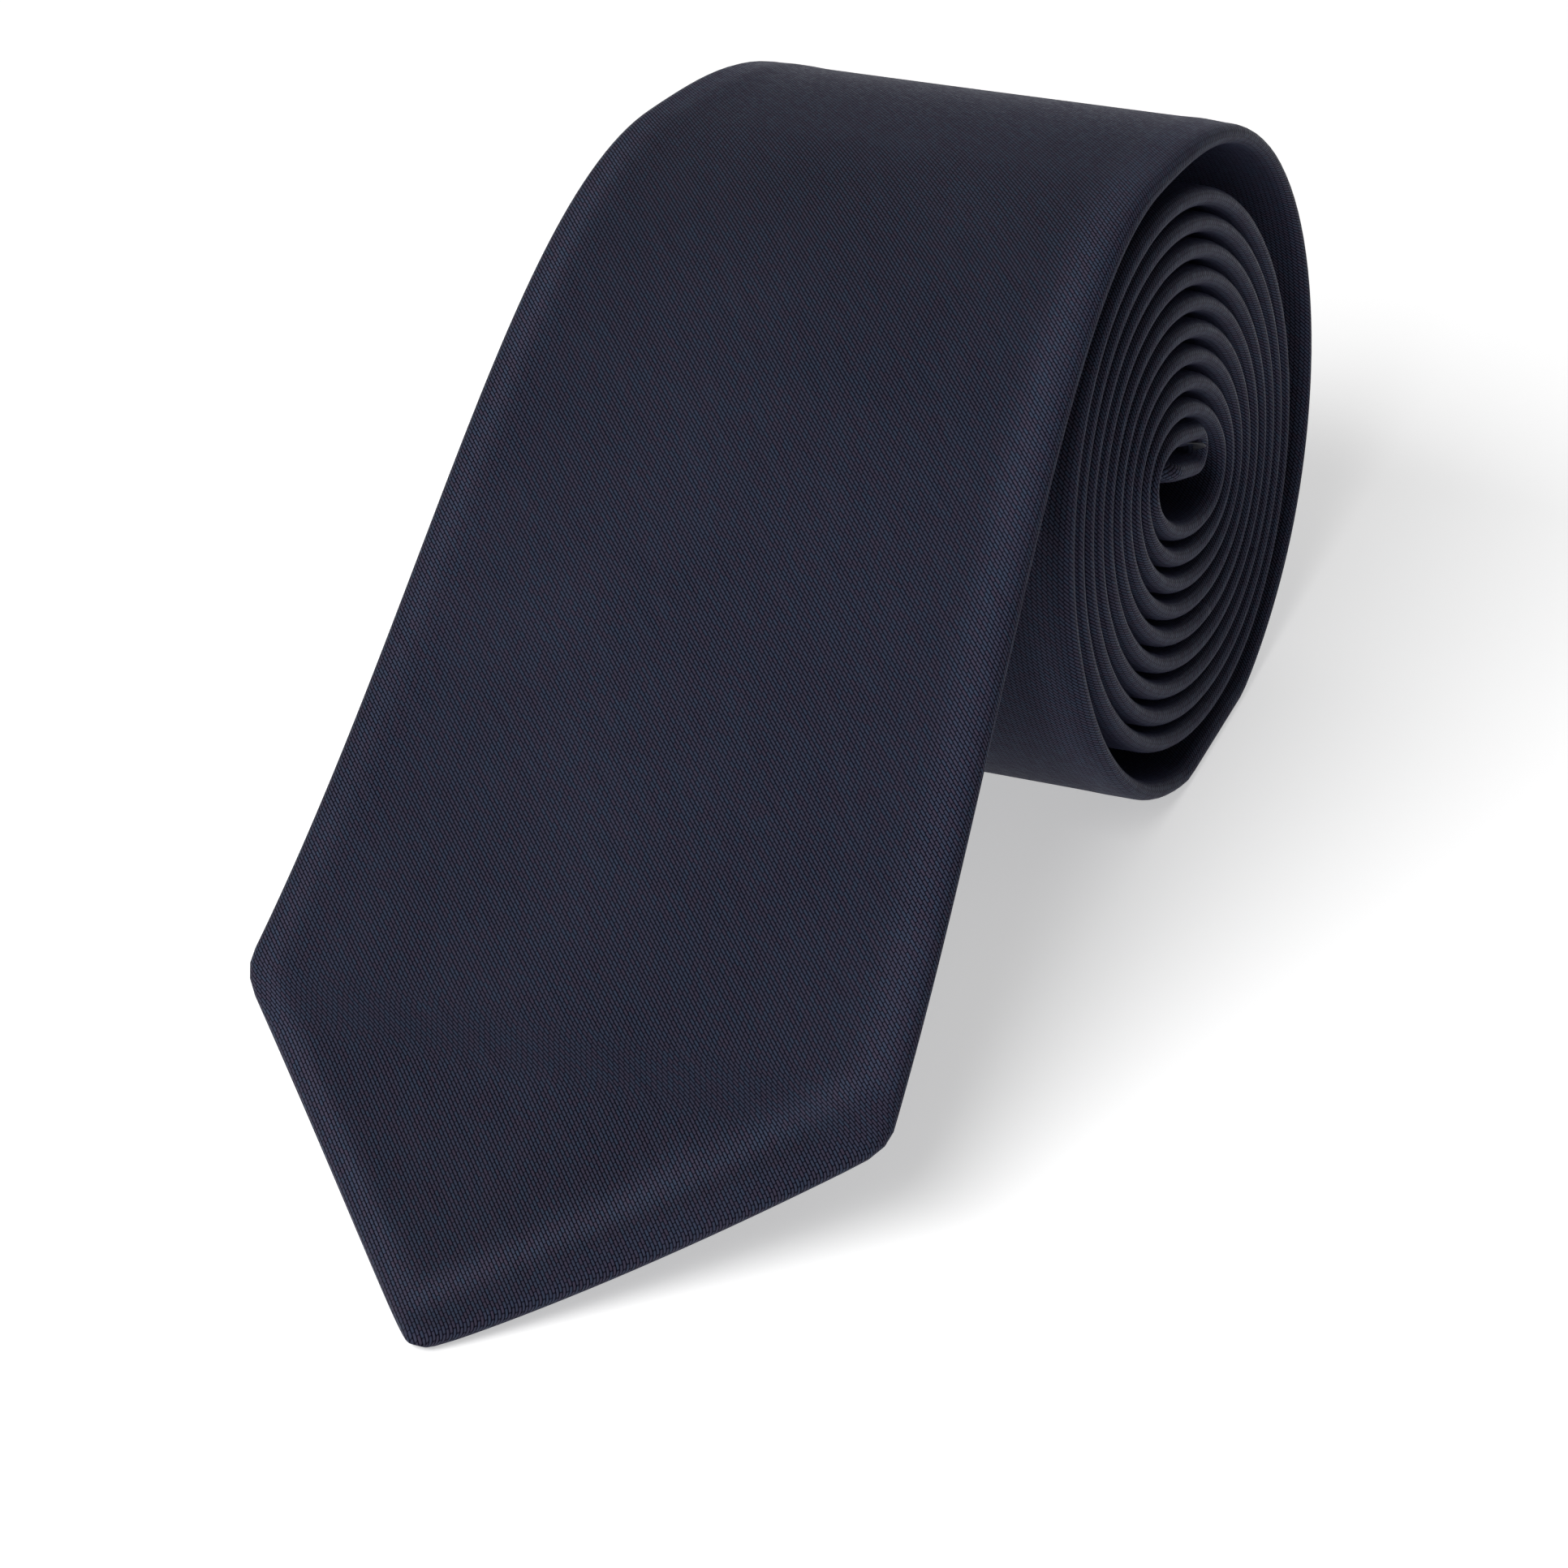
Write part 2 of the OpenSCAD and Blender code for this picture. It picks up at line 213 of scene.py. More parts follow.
# Lengths along the tie are measured in the same steps as in the CAD model.
ramp_steps = p_tip - (p_tip - p_top) * (np.arange(27) / 26) ** 1.2
turn_steps = np.arange(p_top - 15, p_in + 0.9, -15)
core_steps = p_in - (p_in - p_tail) * np.arange(31) / 30
steps = np.concatenate([ramp_steps, turn_steps, core_steps])
runs = np.concatenate([[0], np.cumsum(np.linalg.norm(np.diff(way(steps), axis=0), axis=1))])
tie_len = runs[-1]


def from_tip(p):
    """Length along the tie from the blade's tip, at p."""
    return np.interp(-p, -steps, runs)


def p_at(s):
    """The p value at a length along the tie."""
    return np.interp(s, runs, steps)


right_x = blade_w / 2
turn_share = math.tan(math.radians(blade_turn))
apex_x = right_x - blade_w / 2 - point_h * turn_share
right_corner = point_h - blade_w / 2 * turn_share
left_corner = point_h + blade_w / 2 * turn_share
tail_apex_x = right_x - tail_w / 2


def soft_min(a, b):
    """The smaller of two lengths, rounded where they cross."""
    h = np.maximum(2 * corner_round - abs(a - b), 0)
    return np.minimum(a, b) - h * h / (8 * corner_round)


def rounded(s):
    """The distance from a point's tip, rounded off so that the tip is blunt."""
    t = np.maximum(s, 0) + 0.15
    return np.sqrt(t * t + 2 * corner_round * t)


def side_shift(p):
    """The roll's end leans, so that the turns shift across the tie with their height."""
    return -end_lean * (way(p)[:, 1] - roll_z)


def edges(p):
    """The tie's left and right edges at p."""
    s = from_tip(p)
    width = neck_w + (blade_w - neck_w) * np.exp(-np.maximum(s - right_corner, 0) / taper_len)
    width = width + (tail_w - neck_w) * np.minimum(s / tie_len, 1) ** 6
    end = rounded(tie_len - s)
    r_blade = (right_x - apex_x) * rounded(s) / (right_corner + corner_round)
    l_blade = (apex_x + right_x) * rounded(s) / (left_corner + corner_round)
    r = apex_x + soft_min(soft_min(r_blade, right_x - apex_x), tail_apex_x - apex_x + end)
    l = apex_x - soft_min(soft_min(l_blade, apex_x - right_x + width), apex_x - tail_apex_x + end)
    shift = side_shift(p)
    return l + shift, r + shift


# The footprint's middle is the origin
all_l, all_r = edges(steps)
all_out = way_out(steps)[:, 0]
all_y = way(steps)[:, 0]
centre_x = (all_l.min() + all_r.max()) / 2
centre_y = ((all_y + half * all_out).max() + (all_y - half * abs(all_out)).min()) / 2


def place(p, x, h):
    """Points in metres for rows of stations p, x across the tie and h out from its middle."""
    at = way(p)[:, None, :] + h[..., None] * way_out(p)[:, None, :]
    return np.stack([x - centre_x, at[..., 0] - centre_y, at[..., 1]], -1) / 1000


# The opening in the back, behind each point, where the lining shows. Its half width is zero at
# the mitre, widens along the hems, and narrows along the flaps to the bar tack.
tipping_inset = 10.0
blade_tipping_len = 73.0
tail_tipping_len = 60.0
flap_under = 8.0


def opening(s, start, stop):
    """Half width of one opening, at s from its own point's tip."""
    hems = np.maximum(s - start, 0) * 0.9 + 0.04
    flaps = (stop - s) * 0.6
    return np.minimum(hems, flaps)


def openings(p):
    """Half width of the back's opening. Below zero, it is how far the under flap runs on."""
    s = from_tip(p)
    at_blade = opening(s, tipping_inset * 1.5, blade_tipping_len)
    at_tail = opening(tie_len - s, tipping_inset, tail_tipping_len)
    return np.maximum(at_blade, at_tail)


fold_soft = 1.5
front_spread = np.array([0, .012, .024, .038, .052, .068, .085, .105, .14, .2, .28, .38, .5])
front_spread = np.concatenate([front_spread, 1 - front_spread[-2::-1]])
fold_angles = np.linspace(0, 180, 11)[1:-1]
flap_spread = np.array([0, .06, .14, .26, .42, .6, .8, 1])


def satin_rings(p):
    """Rings of satin round the tie at stations p, from the left flap's edge to the right one's."""
    l, r = (e[:, None] for e in edges(p))
    s = from_tip(p)[:, None]
    gap = openings(p)[:, None]
    mid = (l + r) / 2
    point = apex_x + s * turn_share + side_shift(p)[:, None]
    blade_share = np.clip((blade_tipping_len - s) / 20, 0, 1)
    mid = mid + (point - mid) * blade_share
    # The pressed points close up over their last 2 mm
    to_end = np.clip(np.minimum(s, tie_len - s) / 2, 0, 1)
    f = np.minimum(fold_soft, 0.3 * (r - l))
    h = half * np.sqrt(1 - (1 - to_end) ** 2) * 0.98 + 0.02 * half

    # Soft waves that pressed cloth keeps, and the hems' slight ridge inside the front's edges
    front_x = l + f + (r - l - 2 * f) * front_spread
    wave = 0.10 * np.sin(s / 13 + front_x / 21) + 0.07 * np.sin(s / 7.7 - front_x / 12 + 2)
    edge_far = np.minimum(front_x - l, r - front_x)
    ridge = 0.22 * np.exp(-((edge_far - 4.6) / 1.6) ** 2)
    calm = np.clip((s - 2) / 8, 0, 1) * np.clip(edge_far / 6, 0, 1)
    front_h = h + (wave * calm + ridge * np.clip((s - 4) / 8, 0, 1)) * np.clip(1 - s / 320, 0.15, 1)

    left_fold_x = l + f - f * sin_deg(fold_angles)
    right_fold_x = r - f + f * sin_deg(fold_angles)
    fold_h = h * cos_deg(fold_angles)

    # The right flap lies over the left one
    left_in = np.where(gap > 0, mid - gap, mid + np.minimum(-gap, flap_under))
    left_in = np.minimum(left_in, r - f - 0.5)
    left_in = np.maximum(left_in, l + f + 0.02)
    right_in = np.where(gap > 0, mid + gap, mid)
    right_in = np.minimum(right_in, r - f - 0.02)
    left_x = left_in + (l + f - left_in) * flap_spread
    flap_x = r - f + (right_in - r + f) * flap_spread
    over = 0.42 * np.clip(1 - (flap_x - mid - flap_under) / 4, 0, 1) * np.clip(s / 20 - 3, 0, 1)
    puff = 0.5 * np.clip(gap / 3, 0, 1)
    left_h = -h - puff * np.exp(-((left_x - left_in) / 5) ** 2)
    right_h = -h - np.maximum(puff * np.exp(-((flap_x - right_in) / 5) ** 2), over)

    x = np.hstack([left_x, left_fold_x[:, ::-1], front_x, right_fold_x, flap_x])
    h = np.hstack([left_h, fold_h[:, ::-1], front_h, fold_h, right_h])
    return x, h


def painted_hem_sheen(p, x):
    """0 to 1 over the hems turned in behind the front, where the iron bore hardest: the mask of a painted
    sheen that lightens the satin's colour there.
    """
    l, r = (e[:, None] for e in edges(p))
    from_point = (from_tip(p)[:, None] - 0.95 * abs(x - apex_x)) * 0.8
    edge_far = np.minimum(np.minimum(r - x, (x - l) * 1.4), np.maximum(from_point, 0))
    uneven = 0.85 + 0.3 * np.sin(from_tip(p)[:, None] / 17 + 1)
    return uneven * np.exp(-((edge_far - 3.2) / 1.9) ** 2)


def stations(a, b, step_mm, step_deg):
    """The p values of a stretch of the tie, close enough together for smooth bends."""
    found = [p_at(a)]
    end = p_at(b)
    while found[-1] > end + 1e-3:
        p = found[-1]
        if p > p_top or p < p_in:
            ahead = p_at(from_tip(p) + step_mm * min(1, 0.25 + from_tip(p) / 12))
        else:
            ahead = p - step_deg
        found.append(max(ahead, end))
    return np.array(found)


def finished(name, bm, thick=0):
    """The bmesh as an object at the origin, with its wall's thickness inwards."""
    mesh = bpy.data.meshes.new(name)
    bm.to_mesh(mesh)
    bm.free()
    piece = bpy.data.objects.new(name, mesh)
    bpy.context.scene.collection.objects.link(piece)
    if thick:
        wall = piece.modifiers.new("thickness", "SOLIDIFY")
        wall.thickness = thick / 1000
        wall.offset = -1
    return piece


def cloth(name, rows, across, along, thick=0, closed=False):
    """A cloth: a flat grid, moved to its place, with its flat sizes in metres as its UV map."""
    bm = bmesh.new()
    flat_map = bm.loops.layers.uv.new("cloth")
    bmesh.ops.create_grid(bm, x_segments=rows.shape[1] - 1, y_segments=rows.shape[0] - 1, size=1)
    flat = np.stack([across, np.broadcast_to(along[:, None], across.shape)], -1).reshape(-1, 2) / 1000
    for v, at in zip(bm.verts, rows.reshape(-1, 3)):
        v.co = at
    for face in bm.faces:
        face.smooth = True
        for corner in face.loops:
            corner[flat_map].uv = flat[corner.vert.index]
    if closed:
        bmesh.ops.remove_doubles(bm, verts=bm.verts, dist=1e-7)
        bmesh.ops.holes_fill(bm, edges=[e for e in bm.edges if e.is_boundary])
        bmesh.ops.recalc_face_normals(bm, faces=bm.faces)
    return finished(name, bm, thick)


def flat_across(rows):
    """Distance across the cloth, in mm, from the middle of each row of points."""
    step = np.linalg.norm(np.diff(rows, axis=1), axis=2) * 1000
    run = np.concatenate([np.zeros((len(rows), 1)), np.cumsum(step, axis=1)], axis=1)
    middle = run[:, run.shape[1] // 2]
    return run - middle[:, None]


def add(tree, kind, inputs=(), out=0, **settings):
    """Adds a node with its settings and links, and gives one of its outputs."""
    node = tree.nodes.new(kind)
    for key, value in settings.items():
        setattr(node, key, value)
    for socket, value in inputs:
        if isinstance(value, bpy.types.NodeSocket):
            tree.links.new(value, node.inputs[socket])
        else:
            node.inputs[socket].default_value = value
    return node.outputs[out]


def linear(code):
    """An sRGB hex colour as linear red, green, blue, alpha."""
    parts = [int(code[i:i + 2], 16) / 255 for i in (1, 3, 5)]
    return [c / 12.92 if c <= 0.04045 else ((c + 0.055) / 1.055) ** 2.4 for c in parts] + [1]


# Navy satin, yarn dyed and woven. Long warp floats lie side by side, bound every fifth
# thread, so that it shines in a band across the floats and shows short dashes close to.
# The real threads are 0.2 mm apart. They are drawn at 0.32 mm, to show from here.
thread_pitch = 0.00032
float_len = 0.0008

satin = bpy.data.materials.new("navy_satin")
satin.use_nodes = True
tree = satin.node_tree
shader = tree.nodes["Principled BSDF"]
flat_place = add(tree, "ShaderNodeUVMap", uv_map="cloth")
on_bias = add(tree, "ShaderNodeMapping", [("Vector", flat_place), ("Rotation", (0, 0, math.radians(45)))])
counted = add(
    tree, "ShaderNodeVectorMath", [(0, on_bias), (1, (1 / float_len, 1 / thread_pitch, 1))],
    operation="MULTIPLY",
)
along_thread = add(tree, "ShaderNodeSeparateXYZ", [(0, counted)], out=0)
across_threads = add(tree, "ShaderNodeSeparateXYZ", [(0, counted)], out=1)
column = add(tree, "ShaderNodeMath", [(0, across_threads)], operation="FLOOR")
in_thread = add(tree, "ShaderNodeMath", [(0, across_threads)], operation="FRACT")
shifted = add(tree, "ShaderNodeMath", [(0, column), (1, 0.4), (2, along_thread)], operation="MULTIPLY_ADD")
row = add(tree, "ShaderNodeMath", [(0, shifted)], operation="FLOOR")
in_float = add(tree, "ShaderNodeMath", [(0, shifted)], operation="FRACT")
# Each float is round across, and dips at its two ends
from_mid = add(tree, "ShaderNodeMath", [(0, in_thread), (1, 2.0), (2, -1.0)], operation="MULTIPLY_ADD")
fallen = add(tree, "ShaderNodeMath", [(0, from_mid), (1, from_mid)], operation="MULTIPLY")
round_thread = add(tree, "ShaderNodeMath", [(0, 1.0), (1, fallen)], operation="SUBTRACT")
from_end = add(tree, "ShaderNodeMath", [(0, in_float), (1, 0.5)], operation="PINGPONG")
end_dip = add(
    tree, "ShaderNodeMapRange", [("Value", from_end), ("From Max", 0.16), ("To Min", 0.4)],
    interpolation_type="SMOOTHSTEP",
)
height = add(tree, "ShaderNodeMath", [(0, round_thread), (1, end_dip)], operation="MULTIPLY")
float_id = add(tree, "ShaderNodeCombineXYZ", [(0, column), (1, row)])
chance = add(tree, "ShaderNodeTexWhiteNoise", [("Vector", float_id)], noise_dimensions="2D")
# Some floats catch a slate blue and some a plum grey. Between them and at their dipped ends, painted shade
# takes the colour almost to black.
yarn = add(
    tree, "ShaderNodeMix", [(0, chance), (6, linear("#353d4e")), (7, linear("#3c3847"))], out=2,
    data_type="RGBA",
)
painted_dip_shade_mask = add(
    tree, "ShaderNodeMapRange", [("Value", height), ("From Min", 0.2), ("From Max", 0.9), ("To Max", 0.95)],
    interpolation_type="SMOOTHSTEP",
)
# Uneven yarn makes faint streaks along the threads, and the dye takes a little unevenly
stretched = add(tree, "ShaderNodeVectorMath", [(0, on_bias), (1, (160, 2400, 1))], operation="MULTIPLY")
slub = add(
    tree, "ShaderNodeTexNoise", [("Vector", stretched), ("Scale", 1.0), ("Detail", 1.0)],
    noise_dimensions="2D",
)
cloud = add(
    tree, "ShaderNodeTexNoise", [("Vector", flat_place), ("Scale", 45.0), ("Detail", 2.0)],
    noise_dimensions="2D",
)
uneven = add(tree, "ShaderNodeMath", [(0, slub), (1, 0.16), (2, painted_dip_shade_mask)], operation="MULTIPLY_ADD")
dye_and_painted_shade = add(tree, "ShaderNodeMath", [(0, cloud), (1, 0.14), (2, uneven)], operation="MULTIPLY_ADD")
level_tone = add(tree, "ShaderNodeMath", [(0, dye_and_painted_shade), (1, 0.14)], operation="SUBTRACT")
# A painted sheen makes the turned-in hems a little lighter, standing in for the light that their pressed
# ridge catches
pressed = add(tree, "ShaderNodeAttribute", out="Fac", attribute_name="pressed")
painted_sheen_gain = add(tree, "ShaderNodeMath", [(0, pressed), (1, 0.45), (2, 1.0)], operation="MULTIPLY_ADD")
tone = add(tree, "ShaderNodeMath", [(0, level_tone), (1, painted_sheen_gain)], operation="MULTIPLY")
# The colour runs from almost black, the painted shade in the dips, up to the yarn's colour, and the painted
# hem sheen lifts it further
dye_and_painted_light = add(
    tree, "ShaderNodeMix", [(0, tone), (6, linear("#07060c")), (7, yarn)], out=2, data_type="RGBA",
    clamp_factor=False,
)
tree.links.new(dye_and_painted_light, shader.inputs["Base Color"])
gloss = add(tree, "ShaderNodeMath", [(0, chance), (1, 0.12), (2, 0.42)], operation="MULTIPLY_ADD")
tree.links.new(gloss, shader.inputs["Roughness"])
relief = add(tree, "ShaderNodeBump", [("Strength", 0.7), ("Distance", 0.00008), ("Height", height)])
tree.links.new(relief, shader.inputs["Normal"])
grain = add(tree, "ShaderNodeTangent", direction_type="UV_MAP", uv_map="cloth")
tree.links.new(grain, shader.inputs["Tangent"])
shader.inputs["Specular IOR Level"].default_value = 0.05
shader.inputs["Specular Tint"].default_value = linear("#8c98ff")
shader.inputs["Anisotropic"].default_value = 0.5
shader.inputs["Anisotropic Rotation"].default_value = 0.125
shader.inputs["Sheen Weight"].default_value = 0.07
shader.inputs["Sheen Roughness"].default_value = 0.4
shader.inputs["Sheen Tint"].default_value = linear("#8388c4")


def satin_panel(name, a, b, step_mm, step_deg):
    """A panel of the envelope from the length a to b, with its flat area in square metres."""
    p = stations(a, b, step_mm, step_deg)
    x, h = satin_rings(p)
    rows = place(p, x, h)
    # Where it rests on the table it is flat
    rows[..., 2] = np.maximum(rows[..., 2], 0)
    across = flat_across(rows)
    along = from_tip(p)
    cut = across[:, -1] - across[:, 0]
    area = np.trapz(cut, along) / 1e6
    piece = cloth(name, rows, across, along, satin_thick)
    # The painted hem sheen, kept on the points for the satin's colour
    shine = piece.data.attributes.new("pressed", "FLOAT", "POINT")
    shine.data.foreach_set("value", painted_hem_sheen(p, x).astype(np.float32).ravel())
    piece.data.materials.append(satin)
    return piece, (cut.max() / 1000, (b - a) / 1000), area


blade_panel, blade_flat, blade_area = satin_panel("blade_panel", 0, blade_panel_len - 0.02, 1.6, 3)
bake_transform(blade_panel)
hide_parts("blade_envelope_free", "blade_envelope_rolled")

# ---------------------------------------------------------------------------------------------
# Neck panel. The short middle length of the same satin, sewn between the blade and the tail,
# and folded and pressed with them. It is wholly inside the roll.
# ---------------------------------------------------------------------------------------------
tail_seam_at = blade_panel_len + neck_panel_len
neck_panel, neck_flat, neck_area = satin_panel(
    "neck_panel", blade_panel_len + 0.02, tail_seam_at - 0.02, 1.6, 3
)
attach(neck_panel, "roll")
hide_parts("neck_envelope")

# ---------------------------------------------------------------------------------------------
# Tail panel. The narrow end of the same satin. The roll starts from it, so its pointed end is
# folded back on itself in the roll's core.
# ---------------------------------------------------------------------------------------------
tail_panel, tail_flat, tail_area = satin_panel("tail_panel", tail_seam_at + 0.02, tie_len, 0.8, 4)
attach(tail_panel, "roll")
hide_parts("tail_envelope")

# ---------------------------------------------------------------------------------------------
# Interlining. One strip of brushed wool blend, cut on the bias, that fills the envelope from
# point to point and gives the tie its body. It is folded into the satin and can't be seen.
# ---------------------------------------------------------------------------------------------
interlining_half = 0.5
interlining_in = 0.75
interlining_from = 9.0

wool = bpy.data.materials.new("brushed_wool_interlining")
wool.use_nodes = True
tree = wool.node_tree
shader = tree.nodes["Principled BSDF"]
flat_place = add(tree, "ShaderNodeUVMap", uv_map="cloth")
# Plain weave of soft yarn, 0.9 mm apart, with a raised nap that blurs it
on_bias = add(
    tree, "ShaderNodeMapping",
    [("Vector", flat_place), ("Rotation", (0, 0, math.radians(45))), ("Scale", (1110, 1110, 1))],
)
yarns = add(tree, "ShaderNodeTexChecker", [("Vector", on_bias), ("Scale", 1.0)], out="Fac")
nap = add(
    tree, "ShaderNodeTexNoise", [("Vector", flat_place), ("Scale", 900.0), ("Detail", 4.0)],
    noise_dimensions="2D",
)
nap_tone = add(tree, "ShaderNodeMix", [(0, 0.75), (2, yarns), (3, nap)])
fleece = add(
    tree, "ShaderNodeMix", [(0, nap_tone), (6, linear("#b9b19d")), (7, linear("#efe9da"))], out=2,
    data_type="RGBA",
)
tree.links.new(fleece, shader.inputs["Base Color"])
nap_relief = add(tree, "ShaderNodeBump", [("Strength", 0.6), ("Distance", 0.0002), ("Height", nap_tone)])
tree.links.new(nap_relief, shader.inputs["Normal"])
shader.inputs["Roughness"].default_value = 0.95
shader.inputs["Sheen Weight"].default_value = 0.3

p = stations(interlining_from, tie_len - interlining_from, 3.0, 6)
l, r = (e[:, None] for e in edges(p))
inset = np.minimum(interlining_in, 0.3 * (r - l))
band_spread = np.array([0, .01, .1, .25, .4, .5, .6, .75, .9, .99, 1])
band_h = interlining_half * np.array([0, 1, 1, 1, 1, 1, 1, 1, 1, 1, 0])
band_x = l + inset + (r - l - 2 * inset) * band_spread
x = np.hstack([band_x, band_x[:, -2::-1]])
h = np.broadcast_to(np.hstack([band_h, -band_h[-2::-1]]), x.shape)
interlining = cloth("interlining", place(p, x, h), x, from_tip(p), closed=True)
interlining.data.materials.append(wool)
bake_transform(interlining)
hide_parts("interlining_free", "interlining_rolled")
strip_w = (r - l - 2 * inset)[:, 0]
np.trapz(strip_w, from_tip(p)) / 1e6

# ---------------------------------------------------------------------------------------------
# Panel seams. The three lengths of satin are machine sewn end to end before they are folded,
# with a short lockstitch of navy spun thread. Both seams are inside the roll.
# ---------------------------------------------------------------------------------------------
thread_sides = 6

thread = bpy.data.materials.new("spun_navy_thread")
thread.use_nodes = True
tree = thread.node_tree
shader = tree.nodes["Principled BSDF"]
at = add(tree, "ShaderNodeTexCoord", out="Object")
# The ply's twist shows as a fine slanting ripple, 0.3 mm apart
lint = add(tree, "ShaderNodeTexNoise", [("Vector", at), ("Scale", 5200.0), ("Detail", 3.0)])
ply = add(
    tree, "ShaderNodeTexWave",
    [("Vector", at), ("Scale", 530.0), ("Distortion", 1.5), ("Detail", 1.0)], out="Fac",
    bands_direction="DIAGONAL",
)
twist = add(tree, "ShaderNodeMix", [(0, 0.4), (2, ply), (3, lint)])
spun = add(
    tree, "ShaderNodeMix", [(0, twist), (6, linear("#17161f")), (7, linear("#3a3c4c"))], out=2,
    data_type="RGBA",
)
tree.links.new(spun, shader.inputs["Base Color"])
ply_relief = add(tree, "ShaderNodeBump", [("Strength", 0.5), ("Distance", 0.00005), ("Height", twist)])
tree.links.new(ply_relief, shader.inputs["Normal"])
shader.inputs["Roughness"].default_value = 0.6
shader.inputs["Sheen Weight"].default_value = 0.2


def stitch(bm, line, radius):
    """Adds a short round thread along a line of points, closed at its ends. Sizes are metres."""
    along = np.gradient(line, axis=0)
    along /= np.linalg.norm(along, axis=1)[:, None]
    across = np.cross(along, along[len(line) // 2] + [0.3, 0.5, 0.7])
    across /= np.linalg.norm(across, axis=1)[:, None]
    third = np.cross(along, across)
    turn = np.linspace(0, 2 * math.pi, thread_sides + 1)[None, :, None]
    rows = line[:, None] + radius * (np.cos(turn) * across[:, None] + np.sin(turn) * third[:, None])
    grid = bmesh.ops.create_grid(bm, x_segments=thread_sides, y_segments=len(line) - 1, size=1)
    for v, point in zip(grid["verts"], rows.reshape(-1, 3)):
        v.co = point
    bmesh.ops.remove_doubles(bm, verts=grid["verts"], dist=1e-7)


def stitched(name, lines, radius):
    """A piece made of separate stitches, each along its own line of points."""
    bm = bmesh.new()
    for line in lines:
        stitch(bm, line, radius)
    bmesh.ops.holes_fill(bm, edges=[e for e in bm.edges if e.is_boundary])
    bmesh.ops.recalc_face_normals(bm, faces=bm.faces)
    for face in bm.faces:
        face.smooth = len(face.verts) == 4
    piece = finished(name, bm)
    piece.data.materials.append(thread)
    return piece


seam_pitch = 2.0
seam_stitch = 1.3
seam_thread = 0.09


def seam_lines(s):
    """Stitches that bridge a seam at s, on the front and on the back."""
    rows_p = p_at(s + seam_stitch * np.array([-0.5, -0.3, 0, 0.3, 0.5]))
    lift = np.array([-0.25, 0.06, 0.1, 0.06, -0.25])
    l, r = (e.mean() for e in edges(rows_p))
    for x in np.arange(l + 2, r - 2, seam_pitch):
        for side in (1, -1):
            h = side * (half + lift) - (0.42 if side < 0 and 0 < x - (l + r) / 2 < flap_under else 0)
            yield place(rows_p, np.full((5, 1), x), h[:, None])[:, 0]


for name, s in (("blade_neck_seam", blade_panel_len), ("neck_tail_seam", tail_seam_at)):
    seam = stitched(name + "_thread", seam_lines(s), seam_thread / 1000)
    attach(seam, "roll")
    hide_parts(name)

# ---------------------------------------------------------------------------------------------
# Linings, or tippings. A piece of plain navy lining cloth behind each point, sewn to the hems
# and tucked under the two flaps, so that only a kite of it shows. The tail's is in the core.
# ---------------------------------------------------------------------------------------------
lining_thick = 0.15
lining_tuck = 1.8

lining = bpy.data.materials.new("plain_navy_lining")
lining.use_nodes = True
tree = lining.node_tree
shader = tree.nodes["Principled BSDF"]
flat_place = add(tree, "ShaderNodeUVMap", uv_map="cloth")
# Plain weave, warp over weft like a chequer. The real threads are 0.12 mm apart, drawn at 0.3 mm.
squares = add(tree, "ShaderNodeVectorMath", [(0, flat_place), (1, (3333, 3333, 1))], operation="MULTIPLY")
checks = add(tree, "ShaderNodeTexChecker", [("Vector", squares), ("Scale", 1.0)], out="Fac")
combed = add(tree, "ShaderNodeVectorMath", [(0, flat_place), (1, (3000, 120, 1))], operation="MULTIPLY")
bars = add(tree, "ShaderNodeTexNoise", [("Vector", combed), ("Scale", 1.0)], noise_dimensions="2D")
lining_tone = add(tree, "ShaderNodeMix", [(0, 0.6), (2, checks), (3, bars)])
lining_dye = add(
    tree, "ShaderNodeMix", [(0, lining_tone), (6, linear("#0d0d15")), (7, linear("#262836"))], out=2,
    data_type="RGBA",
)
tree.links.new(lining_dye, shader.inputs["Base Color"])
lining_relief = add(
    tree, "ShaderNodeBump", [("Strength", 0.4), ("Distance", 0.00004), ("Height", lining_tone)]
)
tree.links.new(lining_relief, shader.inputs["Normal"])
shader.inputs["Roughness"].default_value = 0.5
shader.inputs["Specular IOR Level"].default_value = 0.35

tuck_spread = np.linspace(-1, 1, 15)


def lining_piece(name, a, b, middle):
    """The lining from the length a to b. middle gives its middle line across the tie, at p."""
    p = stations(a, b, 1.6, 3)
    gap = np.maximum(openings(p), 0)[:, None]
    x = middle(p)[:, None] + (gap + lining_tuck) * tuck_spread
    raised = np.clip(gap / 3, 0, 1)
    crown = 0.12 * raised * (1 - tuck_spread ** 2)
    h = -half + 0.41 - 0.53 * raised - crown
    rows = place(p, x, h)[:, ::-1]
    piece = cloth(name, rows, x[:, ::-1], from_tip(p), thick=lining_thick)
    piece.data.materials.append(lining)
    return piece


def blade_middle(p):
    return apex_x + from_tip(p) * turn_share + side_shift(p)


def back_middle(p):
    l, r = edges(p)
    return (l + r) / 2


blade_lining = lining_piece("blade_lining", 13.5, blade_tipping_len + 2, blade_middle)
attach(blade_lining, "blade")
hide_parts("blade_tipping")
tail_lining = lining_piece("tail_lining", tie_len - tail_tipping_len - 2, tie_len - 9, back_middle)
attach(tail_lining, "roll")
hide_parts("tail_tipping")

# ---------------------------------------------------------------------------------------------
# Slip stitch. One long loose hand stitch of the same thread, up the middle of the back, where
# the right flap laps over the left one. It lets the tie stretch, so each stitch is slack.
# ---------------------------------------------------------------------------------------------
keeper_at = 200.0
slip_pitch = 6.5
slip_thread = 0.12


